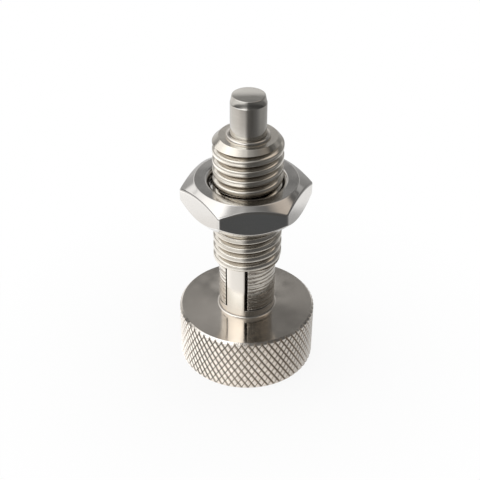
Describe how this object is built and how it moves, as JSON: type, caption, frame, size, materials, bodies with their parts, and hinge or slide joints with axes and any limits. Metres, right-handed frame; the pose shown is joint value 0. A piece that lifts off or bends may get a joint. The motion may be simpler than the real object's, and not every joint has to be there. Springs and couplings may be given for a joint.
{
  "type": "indexing plunger",
  "caption": "Spring-loaded indexing plunger with threaded sleeve, hexagon lock nut, slotted neck and knurled pull knob that locks the pin back.",
  "frame": {"origin": "centre of the knob's underside, on which the plunger stands", "axes": "+Z along the pin towards its tip, Y along the cross slot in the sleeve, X across two flats of the lock nut"},
  "size_m": [0.0162, 0.0162, 0.0346],
  "materials": {
    "sleeve_steel": "turned and thread-cut stainless steel, fine satin",
    "bush_steel": "turned stainless steel, satin",
    "pin_steel": "ground stainless steel, fine turning lines on the end face",
    "spring_wire": "drawn stainless spring wire",
    "knob_steel": "turned stainless steel, fine turning lines on the face, pressed diamond knurl on the rim",
    "nut_steel": "bright stainless steel, smooth bevels and flats"
  },
  "bodies": {
    "sleeve": {"threaded_sleeve": "sleeve_steel", "nose_bush": "bush_steel"},
    "spring": {"compression_spring": "spring_wire"},
    "plunger": {"plunger_pin": "pin_steel", "knurled_knob": "knob_steel"},
    "nut": {"lock_nut": "nut_steel"}
  },
  "joints": [
    {"name": "knob_turn", "type": "hinge", "parent": "sleeve", "child": "spring", "pos_m": [0, 0, 0], "axis": [0, 0, 1], "range_deg": [-3, 5.5]},
    {"name": "knob_pull", "type": "slide", "parent": "spring", "child": "plunger", "axis": [0, 0, -1], "range_m": [0, 0.006], "stiffness_N_per_m": 980, "springref_m": -0.005, "deforming": ["compression_spring"]},
    {"name": "nut_travel", "type": "slide", "parent": "sleeve", "child": "nut", "axis": [0, 0, 1], "range_m": [-0.0059, 0.0054]}
  ]
}
